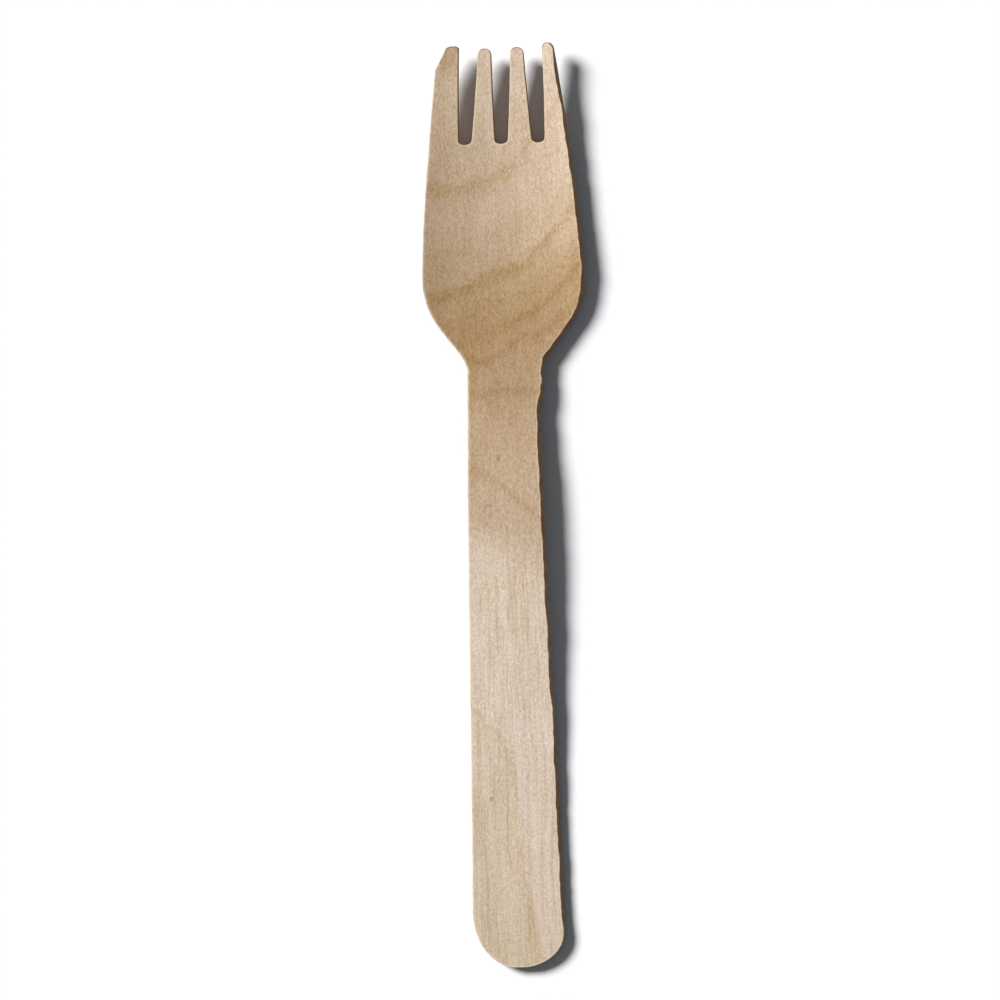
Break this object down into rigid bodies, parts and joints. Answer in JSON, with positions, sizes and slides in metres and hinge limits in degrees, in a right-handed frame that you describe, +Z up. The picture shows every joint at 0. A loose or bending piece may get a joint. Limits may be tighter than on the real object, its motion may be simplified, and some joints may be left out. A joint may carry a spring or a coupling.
{
  "type": "disposable wooden fork",
  "caption": "Disposable birch fork with a long flat handle, a rounded end, an arched neck and a shallow dished head with slim tines.",
  "frame": {"origin": "bottom centre of the fork's box, on the table it lies on", "axes": "+Y along the fork from the handle's end to the tines, +X to the right seen from above with the tines pointing away, +Z up out of the hollow face"},
  "size_m": [0.0284, 0.16, 0.0049],
  "materials": {
    "birch": "matte"
  },
  "bodies": {
    "root": {"wooden_fork": "birch"}
  },
  "joints": []
}
